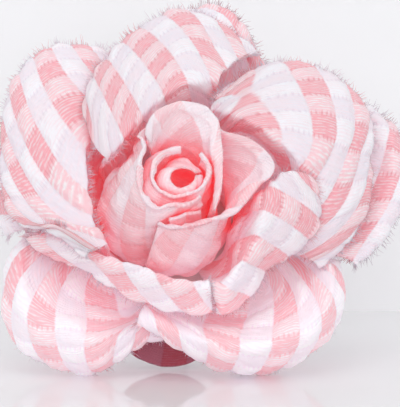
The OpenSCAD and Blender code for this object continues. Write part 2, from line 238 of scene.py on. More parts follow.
SHEETS["petal_left"] = dict(
    root=16.55, grain=33, bend=(-0.8, -1.6, 0.1), shift=(0.2, 0.24),
    form=(0.55, (2, 8), (1.5, 0), (10, 1), (4, -12)),
    rows=[
        (122, 24, 27, 18, -10, 41, 10),
        (138, 24, 27, 22, -14, 49, 12),
        (153, 22.5, 24, 24, -18, 51, 13),
        (169, 21.5, 22, 25, -20, 48, 14),
        (186, 21.5, 21, 25, -20, 43, 14),
        (203, 21.5, 21.5, 24.5, -14, 38, 17.5),
        (212, 21.5, 21.8, 24.8, -11, 30.5, 22.8),
        (221, 21.2, 21.8, 24, -1, 27, 24.2),
    ],
)
SHEETS["petal_low_left"] = dict(
    root=18, grain=-50, bend=(0.6, -0.1, 0.1), shift=(1.86, 0.18),
    form=(0.5, (2, 8), (2, 0), (5, 1), (0, -8)),
    rows=[
        (199, 26.5, 29, 19.5, -4, 36.5, 14),
        (206, 24.5, 28, 22, -5, 34.5, 14.3),
        (226, 23, 24, 24, -5, 27.5, 16.5),
        (246, 22.5, 22, 25, -3, 26.3, 15.7),
        (267, 22, 23, 25, 0, 26.8, 15.5),
        (284.5, 21.5, 23.5, 23, -0.5, 28, 15),
    ],
)
SHEETS["outer_low_right"] = dict(
    root=19.45, grain=15, bend=(-0.3, -0.7, -0.3), shift=(0.79, 1.73),
    form=(0.4, (2, 4), (8, 4), (7, -1), (-6, -8)),
    rows=[
        (251, 24, 28, 14, 0, 29.5, 11),
        (263, 25, 30, 15, 0, 30.5, 7),
        (276, 26.5, 34, 17, 0, 34.5, 4),
        (291, 28, 38, 17.5, 1, 39.8, 1),
        (306, 29, 41, 17, 1, 42.5, 1),
        (320, 29, 41, 16, 0, 43.5, 3),
        (332, 28, 38, 12, 0, 41, 4),
        (341, 26, 34, 8, 0, 37, 4),
    ],
)
SHEETS["outer_top"] = dict(
    root=19.5, grain=-67, bend=(1.1, -0.2, -0.8), shift=(0.72, 1.05),
    form=(0.4, (2, 4), (8, 4), (5, 0), (1, -5)),
    rows=[
        (54, 25, 34, 8, 0, 39, 7),
        (66, 27, 40, 11, 0, 43.5, 9),
        (78, 29, 47, 13, 0, 52, 10),
        (90, 29, 46, 13, 0, 51, 9),
        (104, 27, 40, 11, 0, 44, 7),
        (118, 25, 34, 8, 0, 38, 5),
    ],
)
SHEETS["outer_low_left"] = dict(
    root=21.25, grain=-30, bend=(1, -0.3, 0.1), shift=(1.61, 1.49),
    form=(0.4, (2, 4), (8, 4), (9, -1), (-6, -8)),
    rows=[
        (190, 28, 34, 10, -2, 35, 6),
        (199, 29, 38, 12, -3, 40, 4),
        (210, 29, 41, 14, -3, 45.5, 2),
        (221, 29, 42, 15, -2, 48, 1),
        (232, 29, 40, 15, -1, 45.2, 1),
        (241, 28, 38, 14, 0, 42.2, 1),
        (248, 27, 33.5, 11, 0, 36.5, 3),
        (254, 25, 28, 7, 0, 31, 2),
        (264, 24.3, 26, 4, 0, 28.6, 1),
    ],
)
SHEETS["outer_right"] = dict(
    root=22.3, grain=-65, bend=(1.4, -0.2, 0.2), shift=(1.54, 0.57),
    form=(0.4, (2, 4), (8, 4), (5, -1), (-4, -8)),
    rows=[
        (-17, 27, 38, 7, 0, 41, 4),
        (-8, 28, 43, 9, 0, 46, 5),
        (4, 30, 48, 10, 0, 51, 5),
        (22, 30, 51, 10, 0, 54, 4),
        (36, 30, 47, 8, 0, 49.5, 3),
        (48, 28, 42, 6, 0, 45, 1),
    ],
)
SHEETS["outer_left"] = dict(
    root=22.3, grain=0, bend=(0, 0, 0), shift=(0, 0),
    form=(0.4, (2, 4), (8, 4), (5, -1), (-2, -6)),
    rows=[
        (128, 26, 34, 6, 0, 38, 2),
        (146, 28, 40, 8, 0, 44, 3),
        (163, 29, 42, 9, 0, 46, 4),
        (176, 29, 40, 8, 0, 44, 3),
        (186.2, 28, 37, 6, 0, 41, 1),
    ],
)
# A petal behind the felt, seen through the arch under the two lowest petals; its dark colour is
# painted shade
SHEETS["under_petal"] = dict(
    root=20, grain=0, bend=(0, 0, 0), shift=(0, 0),
    form=(0.5, (4, 1), (3, 0), (2, 0), (2, 0)),
    rows=[
        (238, 24, 26.5, 1.2, 0, 28, 1.5),
        (246, 25, 29, 1.5, 0, 32, 1.5),
        (256, 26, 31, 1.8, 0, 33.6, 1.5),
        (266, 26, 31, 1.8, 0, 33.6, 1.5),
        (276, 25, 29, 1.5, 0, 32, 1.5),
        (284, 24, 26.5, 1.2, 0, 28, 1.5),
    ],
)

# Stops along a sheet, from its root at 0 to its raw edge, and where it is widest
BELLY_STOP = 1.0
LIP_STOP = 2.0
WIDEST_STOP = 2.6
EDGE_STOP = 3.0


def cubic(a, b, leave, reach, f):
    """A smooth curve from a to b that leaves a along leave and reaches b along reach."""
    return (
        a * (2 * f**3 - 3 * f**2 + 1)
        + leave * (f**3 - 2 * f**2 + f)
        + b * (3 * f**2 - 2 * f**3)
        + reach * (f**3 - f**2)
    )


def row_at(rows, u):
    """The table's row at place u across the sheet, smooth from row to row."""
    last = len(rows) - 2
    i = np.clip(np.floor(u).astype(int), 0, last)
    f = (u - i)[..., None]
    b, c = rows[i], rows[i + 1]
    a = np.where((i == 0)[..., None], 2 * b - c, rows[np.maximum(i - 1, 0)])
    d = np.where((i == last)[..., None], 2 * c - b, rows[np.minimum(i + 2, last + 1)])
    return b + 0.5 * f * (
        c - a + f * (2 * a - 5 * b + 4 * c - d + f * (3 * (b - c) + d - a))
    )


def mid_points(sheet, u, t):
    """The middle of the cloth at place u across the sheet and stop t along it."""
    az, belly_r, lip_r, lip_z, turn, edge_r, edge_z = np.moveaxis(
        row_at(sheet["rows"], u), -1, 0
    )
    share, rise, into_lip, out_of_lip, at_edge = sheet["form"]

    def pair(r, z):
        return np.stack([r + 0 * az, z + 0 * az], -1)

    root_z = SEAT_GAP + CAD_WALL / 2 * rise[0] / math.hypot(*rise)
    root = pair(sheet["root"], root_z)
    lip = pair(lip_r, lip_z)
    belly = pair(belly_r, root_z + (lip_z - root_z) * share)
    edge = pair(edge_r, edge_z)
    swell = (lip - root) / 2
    f = t[..., None]
    section = np.where(
        f < BELLY_STOP,
        cubic(root, belly, pair(*rise), swell, np.clip(f, 0, 1)),
        np.where(
            f < LIP_STOP,
            cubic(belly, lip, swell, pair(*into_lip), np.clip(f - BELLY_STOP, 0, 1)),
            cubic(lip, edge, pair(*out_of_lip), pair(*at_edge), np.clip(f - LIP_STOP, 0, 1)),
        ),
    )
    if sheet["back_face"]:
        section[..., 1] = -BACKING_T - section[..., 1]
    over = np.clip(t - LIP_STOP, 0, 1)
    around = np.radians(az + turn * over**2 * (3 - 2 * over))
    return np.stack(
        [section[..., 0] * np.cos(around), section[..., 0] * np.sin(around), section[..., 1]],
        -1,
    )


def lengths_along(points, axis):
    """How far each point is along its line of points."""
    step = np.linalg.norm(np.diff(points, axis=axis), axis=-1)
    start = np.zeros_like(np.take(step, [0], axis))
    return np.concatenate([start, np.cumsum(step, axis)], axis)


def even_places(points, values, step):
    """Values spread again, so that they lie about step apart along a line of points."""
    fewest = 8
    along = lengths_along(points, 0)
    count = max(fewest, math.ceil(along[-1] / step) + 1)
    return np.interp(np.linspace(0, along[-1], count), along, values)


def unit(vectors):
    """The same directions with a length of 1."""
    return vectors / np.maximum(np.linalg.norm(vectors, axis=-1, keepdims=True), 1e-9)


def ripples(seed, waves, shortest, longest):
    """A smooth random height over a plane, from plane waves of the given wavelengths."""
    draw = np.random.default_rng(seed)
    angle = draw.uniform(0, 2 * math.pi, waves)
    size = 2 * math.pi / draw.uniform(shortest, longest, waves)
    phase = draw.uniform(0, 2 * math.pi, waves)

    def height(x, y):
        total = np.zeros_like(x)
        for a, k, p in zip(angle, size, phase):
            total += np.sin(k * (x * math.cos(a) + y * math.sin(a)) + p)
        return total / math.sqrt(waves)

    return height


def pattern_places(sheet, across, from_edge):
    """Where a point of the cut cloth lies in the woven pattern, in stripes and in checks."""
    turn = math.radians(sheet["grain"])
    square, skew, drop = (k / 100 for k in sheet["bend"])
    a = across * math.cos(turn) - from_edge * math.sin(turn)
    a += square * across**2 + skew * across * from_edge + drop * from_edge**2
    b = across * math.sin(turn) + from_edge * math.cos(turn)
    b += (square - drop) * across * from_edge + skew * (from_edge**2 - across**2) / 2
    return np.stack(
        [a / STRIPE_W + sheet["shift"][0], b / CHECK_H + sheet["shift"][1]], -1
    )


def pillow(place):
    """The height of the checks, 0 at their pinched borders; every other one is puffed up."""
    roundness, between_checks, low_check = 2.6, 0.3, 0.45
    cell = np.floor(place)
    inside = 1 - np.abs(2 * (place - cell) - 1) ** roundness
    puffed = np.mod(cell.sum(-1), 2)
    along = between_checks + (1 - between_checks) * inside[..., 1]
    return inside[..., 0] * along * (low_check + (1 - low_check) * puffed)


def cloth_surface(sheet, seed):
    """The sheet's middle points, normals, pattern places and stops, on an even grid."""
    last_row = len(sheet["rows"]) - 1
    u_fine = np.linspace(0, 1, FINE) * last_row
    t_fine = np.linspace(0, 1, FINE) * EDGE_STOP
    widest = mid_points(sheet, u_fine, np.full(FINE, WIDEST_STOP))
    u = even_places(widest, u_fine, MESH_STEP)
    middle = mid_points(sheet, np.full(FINE, last_row / 2), t_fine)
    t = even_places(middle, t_fine, MESH_STEP)
    grid_u, grid_t = np.meshgrid(u, t, indexing="ij")
    points = mid_points(sheet, grid_u, grid_t)
    normals = unit(np.cross(np.gradient(points, axis=0), np.gradient(points, axis=1)))
    across = lengths_along(points, 0)
    across -= across[len(u) // 2]
    along = lengths_along(points, 1)
    from_edge = along[:, -1:] - along
    place = pattern_places(sheet, across, from_edge)
    crinkle = ripples(seed, waves=14, shortest=1.6, longest=4.5)(across, from_edge)
    soft = ripples(seed + 1, waves=8, shortest=9, longest=20)(across, from_edge)
    free = np.clip(along / RISE_OVER, 0, 1)
    height = free * (PUFF * pillow(place) + CRINKLE * crinkle + SOFT_FOLD * soft - PUFF / 2)
    shown = normals * sheet["shown_side"]
    return points + shown * height[..., None], normals, place, grid_t


def new_piece(name, points, faces, replaced=()):
    """A mesh object from points of the flower's frame, riding on the body.

    Each block of faces has a row of point numbers for each face.
    """
    mesh = bpy.data.meshes.new(name)
    mesh.vertices.add(len(points))
    places = in_row_frame(points)
    places[:, 2] = np.maximum(places[:, 2], TABLE_CLEARANCE * MM)
    mesh.vertices.foreach_set("co", places.astype(np.float32).ravel())
    loops = np.concatenate([block.ravel() for block in faces])
    counts = np.concatenate([np.full(len(block), block.shape[1]) for block in faces])
    mesh.loops.add(len(loops))
    mesh.loops.foreach_set("vertex_index", loops.astype(np.int32))
    mesh.polygons.add(len(counts))
    starts = np.concatenate([[0], np.cumsum(counts)[:-1]])
    mesh.polygons.foreach_set("loop_start", starts.astype(np.int32))
    mesh.update(calc_edges=True)
    mesh.validate()
    mesh.shade_smooth()
    piece = bpy.data.objects.new(name, mesh)
    bpy.context.scene.collection.objects.link(piece)
    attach(piece, "root")
    if replaced:
        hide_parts(*replaced)
    return piece


def write_places(piece, places):
    """Stores each vertex's place in the pattern as the mesh's UV map."""
    layer = piece.data.uv_layers.new(name="weave")
    index = np.zeros(len(piece.data.loops), np.int32)
    piece.data.loops.foreach_get("vertex_index", index)
    layer.data.foreach_set("uv", places[index].astype(np.float32).ravel())


def rim_of(across, along):
    """The indices of a grid's border points, once round."""
    index = np.arange(across * along).reshape(across, along)
    return np.concatenate(
        [index[:, 0], index[-1, 1:], index[-2::-1, -1], index[0, -2:0:-1]]
    )


def cloth_piece(name, sheet, seed):
    """One sheet of cloth as a closed thin wall, and the surface that its threads grow from."""
    points, normals, place, stops = cloth_surface(sheet, seed)
    across, along = points.shape[:2]
    upper = (points + normals * CLOTH_T / 2).reshape(-1, 3)
    lower = (points - normals * CLOTH_T / 2).reshape(-1, 3)
    index = np.arange(across * along).reshape(across, along)
    cells = np.stack(
        [index[:-1, :-1], index[1:, :-1], index[1:, 1:], index[:-1, 1:]], -1
    ).reshape(-1, 4)
    rim = rim_of(across, along)
    count = across * along
    side = np.stack([rim, rim + count, np.roll(rim, -1) + count, np.roll(rim, -1)], -1)
    faces = np.concatenate([cells, cells[:, ::-1] + count, side])
    both = np.concatenate([upper, lower])
    piece = new_piece("cloth_" + name, both, [faces], [name])
    write_places(piece, np.tile(place.reshape(-1, 2), (2, 1)))
    return piece, points, normals, place, stops


def thread_tubes(roots, aims, bends, lengths, radius, places):
    """Short bent threads as three-sided tapered tubes: points, faces and pattern places."""
    stations = np.array([0.0, 0.35, 0.7, 1.0])
    thickness = np.array([1.0, 0.95, 0.8, 0.35])
    rings, corners, nudge = len(stations), 3, 1e-3
    side = unit(np.cross(aims, bends + nudge))
    other = unit(np.cross(aims, side))
    points = []
    for s, w in zip(stations, thickness):
        centre = roots + aims * (lengths * s)[:, None] + bends * (lengths * s * s)[:, None]
        for corner in range(corners):
            turn = 2 * math.pi * corner / corners
            points.append(
                centre + radius * w * (side * math.cos(turn) + other * math.sin(turn))
            )
    points = np.stack(points, 1).reshape(-1, 3)
    base = np.arange(len(roots))[:, None] * rings * corners
    round_once = np.arange(corners)
    next_round = np.roll(round_once, -1)
    faces = []
    for ring in range(rings - 1):
        low, high = corners * ring, corners * (ring + 1)
        for a, b in zip(round_once, next_round):
            faces.append(base + np.array([low + a, low + b, high + b, high + a]))
    ends = [base + round_once[::-1], base + corners * (rings - 1) + round_once]
    return (
        points,
        [np.concatenate(faces), np.concatenate(ends)],
        np.repeat(places, rings * corners, 0),
    )


# A grid's raw borders: its points along each, and the points a little inside
RAW_BORDERS = {
    "edge": (np.s_[:, -1], np.s_[:, -3]),
    "start": (np.s_[0], np.s_[2]),
    "end": (np.s_[-1], np.s_[-3]),
}


def picked(at, along, values):
    """A line's values at other lengths along it."""
    return np.stack([np.interp(at, along, column) for column in values.T], -1)


def raw_border_threads(draw, points, normals, place, spacing, longest, lift):
    """Threads that stand out of a sheet's raw borders, like the teeth of a comb.

    The lower part of the side borders is hidden between its neighbours and has none.
    """
    hidden_share, root_depth, root_spread, clump_rate = 0.55, 0.25, 0.7, 1.7
    threads = []
    for side, (border, inside) in RAW_BORDERS.items():
        line = points[border]
        first = 0 if side == "edge" else int(hidden_share * len(line))
        out = unit(line - points[inside])[first:]
        line, square, marks = line[first:], normals[border][first:], place[border][first:]
        along = lengths_along(line, 0)
        count = int(along[-1] / spacing)
        if count < 2:
            continue
        at = np.sort(draw.uniform(0, along[-1], count))
        tangent = unit(picked(at, along, np.gradient(line, axis=0)))
        normal = unit(picked(at, along, square))
        outward = unit(picked(at, along, out))
        root = picked(at, along, line) - outward * root_depth
        root += normal * draw.uniform(-0.5, 0.5, (count, 1)) * CLOTH_T * root_spread
        clump = 0.8 + 0.2 * np.sin(at * clump_rate + draw.uniform(0, 6))
        length = longest * clump * draw.uniform(0.5, 1.0, count)
        aim = unit(outward + normal * lift)
        threads.append((root, aim, tangent, normal, length, picked(at, along, marks)))
    return threads


def lip_threads(draw, points, normals, place, stops, longest):
    """Threads that have worked loose where a petal turns away from the front."""
    most_facing, first_stop, share, root_depth = 0.25, 1.6, 0.3, 0.1
    turned = np.argwhere((np.abs(normals @ FRONT) < most_facing) & (stops > first_stop))
    chosen = turned[draw.choice(len(turned), int(len(turned) * share), replace=False)]
    i, j = chosen[:, 0], chosen[:, 1]
    across = unit(np.gradient(points, axis=0))[i, j]
    along = unit(np.gradient(points, axis=1))[i, j]
    normal = normals[i, j]
    aim = unit(normal + along * draw.uniform(0.1, 0.6, (len(i), 1)))
    root = points[i, j] + normal * (CLOTH_T / 2 - root_depth)
    length = longest * draw.uniform(0.4, 1.0, len(i))
    return [(root, aim, across, normal, length, place[i, j])]


def fringe_piece(name, threads, draw, radius, material):
    """Loose threads as one piece.

    Each group of threads has roots, aims, two sideways axes, lengths and pattern places.
    """
    roots, aims, sides, uprights, lengths, marks = (
        np.concatenate(column) for column in zip(*threads)
    )
    count, leaning, bending = len(roots), 0.2, 0.22
    lean = draw.normal(0, leaning, (count, 2))
    bend = draw.normal(0, bending, (count, 2))
    tubes, faces, marks = thread_tubes(
        roots,
        unit(aims + sides * lean[:, :1] + uprights * lean[:, 1:]),
        sides * bend[:, :1] + uprights * bend[:, 1:],
        lengths,
        radius,
        marks,
    )
    piece = new_piece(name + "_fringe", tubes, faces)
    write_places(piece, marks)
    piece.data.materials.append(material)
    return piece


class Nodes:
    """Builds a material's node tree with short calls."""

    def __init__(self, name):
        self.material = bpy.data.materials.new(name)
        self.material.use_nodes = True
        self.tree = self.material.node_tree
        self.tree.nodes.clear()
        output = self.tree.nodes.new("ShaderNodeOutputMaterial")
        self.shader = self.tree.nodes.new("ShaderNodeBsdfPrincipled")
        self.link(self.shader.outputs["BSDF"], output.inputs["Surface"])

    def link(self, start, end):
        self.tree.links.new(start, end)

    def put(self, socket, value):
        """Links a socket or sets a constant."""
        if isinstance(value, bpy.types.NodeSocket):
            self.link(value, socket)
        elif value is not None:
            socket.default_value = value

    def math(self, operation, a, b=None, c=None, clamp=False):
        node = self.tree.nodes.new("ShaderNodeMath")
        node.operation = operation
        node.use_clamp = clamp
        for socket, value in zip(node.inputs, (a, b, c)):
            self.put(socket, value)
        return node.outputs[0]

    def mix(self, share, a, b, blend="MIX"):
        node = self.tree.nodes.new("ShaderNodeMix")
        node.data_type = "RGBA"
        node.blend_type = blend
        self.put(node.inputs["Factor"], share)
        self.put(node.inputs["A"], a)
        self.put(node.inputs["B"], b)
        return node.outputs["Result"]

    def remap(self, value, low, high):
        """A smooth step from 0 at low to 1 at high."""
        node = self.tree.nodes.new("ShaderNodeMapRange")
        node.interpolation_type = "SMOOTHSTEP"
        for name, number in (("Value", value), ("From Min", low), ("From Max", high)):
            self.put(node.inputs[name], number)
        return node.outputs["Result"]

    def tinted(self, share, cloth, tint):
        """The cloth, multiplied by a tint as far as the share says."""
        return self.mix(share, cloth, self.mix(1.0, cloth, tint, "MULTIPLY"))

    def noise(self, scale, detail, vector=None):
        node = self.tree.nodes.new("ShaderNodeTexNoise")
        node.inputs["Scale"].default_value = scale
        node.inputs["Detail"].default_value = detail
        if vector is not None:
            self.link(vector, node.inputs["Vector"])
        return node.outputs["Fac"]

    def square_wave(self, x, sharpness):
        """1 and 0 by turns, a unit of x each, with steeper borders for more sharpness."""
        sine = self.math("SINE", self.math("MULTIPLY", x, math.pi))
        return self.math("MULTIPLY_ADD", sine, sharpness, 0.5, clamp=True)

    def ripple(self, x, times):
        """Smooth waves from 0 to 1, so many times a unit of x."""
        sine = self.math("SINE", self.math("MULTIPLY", x, 2 * math.pi * times))
        return self.math("MULTIPLY_ADD", sine, 0.5, 0.5)

    def closeness(self, reach):
        """0 where nothing stands within reach, in millimetres, and 1 where all is closed in."""
        shade = self.tree.nodes.new("ShaderNodeAmbientOcclusion")
        shade.samples = 6
        shade.inputs["Distance"].default_value = reach * MM
        return self.math("SUBTRACT", 1.0, shade.outputs["AO"])

    def height(self):
        """The height above the table, in metres."""
        place = self.tree.nodes.new("ShaderNodeNewGeometry").outputs["Position"]
        split = self.tree.nodes.new("ShaderNodeSeparateXYZ")
        self.link(place, split.inputs["Vector"])
        return split.outputs["Z"]

    def combine(self, x, y, z=0.0):
        node = self.tree.nodes.new("ShaderNodeCombineXYZ")
        for socket, value in zip(node.inputs, (x, y, z)):
            self.put(socket, value)
        return node.outputs["Vector"]

    def bump(self, height, strength, distance):
        node = self.tree.nodes.new("ShaderNodeBump")
        node.inputs["Strength"].default_value = strength
        node.inputs["Distance"].default_value = distance
        self.link(height, node.inputs["Height"])
        self.link(node.outputs["Normal"], self.shader.inputs["Normal"])

    def set(self, **values):
        """Sets constants on the shader's own sockets."""
        for name, value in values.items():
            self.shader.inputs[name.replace("_", " ")].default_value = value


# Colours of the threads: dense and light pink checks, white ones, floats, clouds and comb marks
DENSE_PINK = (0.94, 0.40, 0.45, 1)
LIGHT_PINK = (0.96, 0.59, 0.64, 1)
PUFFED_WHITE = (0.94, 0.91, 0.98, 1)
LILAC_WHITE = (0.88, 0.80, 0.89, 1)
WEFT_TINT = (0.94, 0.77, 0.84, 1)
THREAD_WHITE = (0.97, 0.90, 0.92, 1)
CLOUD_PINK = (0.97, 0.80, 0.85, 1)
MARK_PINK = (0.80, 0.27, 0.31, 1)
MARK_LILAC = (0.66, 0.52, 0.66, 1)

# Painted light and shade that the cloth takes from its place: in folds, near the table, in the
# heart, under the back and on loose threads
FOLD_PAINTED_SHADE = (1.0, 0.90, 0.91, 1)
RECESS_PAINTED_SHADE = (1.0, 0.76, 0.79, 1)
DEPTH_PAINTED_SHADE = (0.85, 0.12, 0.15, 1)
TABLE_LIT = (0.96, 0.87, 0.91, 1)
HEART_PAINTED_PINK_SHADE = (1.0, 0.81, 0.85, 1)
LOW_HEART_PAINTED_SHADE = (1.0, 0.78, 0.80, 1)
NO_SHADE = (1, 1, 1, 1)
UNDER_PAINTED_SHADE = (0.30, 0.11, 0.14, 1)
THREAD_PAINTED_SHADE = (0.86, 0.81, 0.84, 1)
DARKER_THREAD_PAINTED_SHADE = (0.60, 0.53, 0.58, 1)

# Painted glow, an emission that stands in for light through the thin cloth: in the open, near the
# table, in folds and depths
PAINTED_GLOW_OPEN = (0.01, 0.01, 0.01, 1)
PAINTED_GLOW_LOW = (0.12, 0.13, 0.13, 1)
PAINTED_GLOW_FOLD = (0.10, 0.10, 0.10, 1)
PAINTED_GLOW_DEPTH = (0.20, 0.08, 0.08, 1)

# Heights between which the table's painted light fades out, and the heart's painted pink shade
# gathers downward
TABLE_LIGHT_Z = (12 * MM, 34 * MM)
HEART_LOW_Z = (46 * MM, 28 * MM)
TABLE_LIGHT = 0.2
PAINTED_HEART_SHARE = 0.45

# How close other cloth stands, from 0 to 1, between the start and the full strength of each
# painted shade and of the painted glow
FOLD_RANGE = (0.3, 0.7)
RECESS_RANGE = (0.6, 0.95)
DEPTH_RANGE = (0.97, 1.0)
PAINTED_GLOW_RANGE = (0.3, 0.9)

# The weave's lines, for each stripe across (warp) and each check along (weft)
WARP_THREADS = 17.0
WEFT_THREADS = 13.0
SLOW_ALONG = 0.6
WEFT_RIPPLES = 8.5
WARP_RIPPLES = 11.0
COMB_TEETH = 5.5


def ragged(n, place, line, most):
    """A place in the pattern, moved by up to about most, differently for each thread."""
    return n.math("ADD", place, n.math("MULTIPLY_ADD", n.noise(1.0, 1.0, line), 2 * most, -most))


def weave(n):
    """The gingham's own colour and its relief: checks, float threads and comb-like borders."""
    uv = n.tree.nodes.new("ShaderNodeUVMap")
    uv.uv_map = "weave"
    split = n.tree.nodes.new("ShaderNodeSeparateXYZ")
    n.link(uv.outputs["UV"], split.inputs["Vector"])
    a, b = split.outputs["X"], split.outputs["Y"]

    def stretched(times_a, times_b, z=0.0):
        return n.combine(n.math("MULTIPLY", a, times_a), n.math("MULTIPLY", b, times_b), z)

    # Each warp and weft thread ends its check a little early or late
    b_edge = ragged(n, b, stretched(WARP_THREADS, SLOW_ALONG), most=0.11)
    a_edge = ragged(n, a, stretched(SLOW_ALONG, WEFT_THREADS, 5.0), most=0.05)
    stripe = n.square_wave(a_edge, sharpness=5.0)
    check = n.square_wave(b_edge, sharpness=3.0)

    # Fine weft lines across the stripes, broken here and there, and warp lines along them
    on_light, on_dense, on_white = 0.82, 0.55, 0.6
    weft = n.ripple(b, WEFT_RIPPLES)
    warp = n.ripple(a, WARP_RIPPLES)
    broken = n.noise(scale=1.0, detail=2.0, vector=stretched(3.0, 16.0))
    floats = n.math("MULTIPLY", weft, n.remap(broken, 0.35, 0.6))
    light = n.mix(n.math("MULTIPLY", floats, on_light), LIGHT_PINK, THREAD_WHITE)
    dense = n.mix(n.math("MULTIPLY", floats, on_dense), DENSE_PINK, THREAD_WHITE)
    pink = n.mix(check, light, dense)

    # White checks take a little pink in clouds and from their weft
    cloudiness = 0.4
    white = n.mix(check, LILAC_WHITE, PUFFED_WHITE)
    clouds = n.remap(n.noise(scale=0.9, detail=3.0, vector=uv.outputs["UV"]), 0.42, 0.68)
    white = n.mix(n.math("MULTIPLY", clouds, cloudiness), white, CLOUD_PINK)
    white = n.mix(n.math("MULTIPLY", floats, on_white), white, WEFT_TINT)

    # Comb marks where a dense check meets a light one, twice as strong on the pink stripes
    on_white_stripe, mark_from, mark_full = 0.25, 0.16, 0.02
    to_border = n.math("ABSOLUTE", n.math("PINGPONG", b_edge, 0.5))
    border = n.remap(to_border, mark_from, mark_full)
    teeth = n.remap(n.math("SINE", n.math("MULTIPLY", a, 2 * math.pi * COMB_TEETH)), -0.1, 0.8)
    strength = n.math("MULTIPLY_ADD", stripe, on_white_stripe, on_white_stripe)
    marked = n.math("MULTIPLY", n.math("MULTIPLY", border, teeth), strength)
    colour = n.mix(marked, n.mix(stripe, white, pink), n.mix(stripe, MARK_LILAC, MARK_PINK))

    weft_height, warp_height, fluff_height = 0.6, 0.25, 0.9
    lines = n.math("MULTIPLY", weft, weft_height), n.math("MULTIPLY", warp, warp_height)
    fluff = n.math("MULTIPLY", broken, fluff_height)
    return colour, n.math("ADD", n.math("ADD", *lines), fluff)


def place_light(n, cloth, shade, reach):
    """The cloth's colour with the light that its place gives it.

    Pink light gathers where other cloth stands within reach, in millimetres, and red light in
    the depths. The pale table only brightens the cloth near it.
    """
    above_table = n.remap(n.height(), *TABLE_LIGHT_Z)
    closed = n.math("MULTIPLY", n.closeness(reach), above_table)
    table_lit = n.math("MULTIPLY_ADD", above_table, -TABLE_LIGHT, TABLE_LIGHT)
    cloth = n.mix(table_lit, cloth, n.mix(1.0, TABLE_LIT, shade, "MULTIPLY"))
    # Painted pink shade in folds and recesses, and painted red shade in the depths
    cloth = n.tinted(n.remap(closed, *FOLD_RANGE), cloth, FOLD_PAINTED_SHADE)
    cloth = n.tinted(n.remap(closed, *RECESS_RANGE), cloth, RECESS_PAINTED_SHADE)
    deepest = n.remap(closed, *DEPTH_RANGE)
    cloth = n.mix(deepest, cloth, DEPTH_PAINTED_SHADE)
    # Painted glow: the cloth emits its own colour, more near the table, in folds and in the depths
    painted_glow = n.mix(above_table, PAINTED_GLOW_LOW, PAINTED_GLOW_OPEN)
    painted_glow = n.mix(n.remap(closed, *PAINTED_GLOW_RANGE), painted_glow, PAINTED_GLOW_FOLD)
    painted_glow = n.mix(deepest, painted_glow, PAINTED_GLOW_DEPTH)
    n.link(n.mix(1.0, cloth, painted_glow, "MULTIPLY"), n.shader.inputs["Emission Color"])
    n.set(Emission_Strength=1.0)
    return cloth


def gingham_material(name, shade=NO_SHADE, painted_heart_share=0.0, reach=12):
    """Soft woven gingham, shaded for its place in the flower.

    The heart's share is how much of the heart's painted pink shade the cloth takes, and a reach of
    0 leaves out the painted light, shade and glow of the folds, the depths and the table.
    """
    n = Nodes(name)
    cloth, relief = weave(n)
    # Painted shade: the heart's pink share, pinker low in the heart, then the sheet's own painted
    # shade tone
    cloth = n.mix(1.0, n.mix(painted_heart_share, cloth, HEART_PAINTED_PINK_SHADE), shade, "MULTIPLY")
    if painted_heart_share:
        cloth = n.tinted(n.remap(n.height(), *HEART_LOW_Z), cloth, LOW_HEART_PAINTED_SHADE)
    if reach:
        cloth = place_light(n, cloth, shade, reach)
    n.link(cloth, n.shader.inputs["Base Color"])
    n.bump(relief, strength=0.8, distance=0.12 * MM)
    n.set(Roughness=0.75, Specular_IOR_Level=0.25, Sheen_Weight=0.15, Sheen_Roughness=0.4)
    n.set(Subsurface_Weight=0.4, Subsurface_Radius=(1.0, 0.6, 0.62), Subsurface_Scale=4 * MM)
    return n.material


def felt_material():
    """White wool felt with short matted fibres."""
    # The felt's uneven tone, darker where its bump is low: partly its own tone, partly painted
    # shade in the hollows
    hollow_tone_and_shade, raised_tone_and_light = (0.80, 0.77, 0.75, 1), (0.90, 0.88, 0.87, 1)
    fibre_height = 0.6
    n = Nodes("wool_felt")
    clumps = n.noise(scale=900.0, detail=3.0)
    fibres = n.noise(scale=5200.0, detail=4.0)
    tone = n.mix(n.remap(clumps, 0.35, 0.65), hollow_tone_and_shade, raised_tone_and_light)
    n.link(tone, n.shader.inputs["Base Color"])
    relief = n.math("ADD", clumps, n.math("MULTIPLY", fibres, fibre_height))
    n.bump(relief, strength=0.6, distance=0.25 * MM)
    n.set(Roughness=0.95, Specular_IOR_Level=0.15, Sheen_Weight=0.4)
    return n.material


def steel_material():
    """Nickel-plated wire with a slightly uneven polish."""
    dull, bright = (0.60, 0.61, 0.63, 1), (0.76, 0.77, 0.79, 1)
    n = Nodes("pin_steel")
    spots = n.noise(scale=1500.0, detail=2.0)
    n.link(n.mix(spots, dull, bright), n.shader.inputs["Base Color"])
    n.bump(spots, strength=0.1, distance=0.02 * MM)
    n.set(Metallic=1.0, Roughness=0.24)
    return n.material


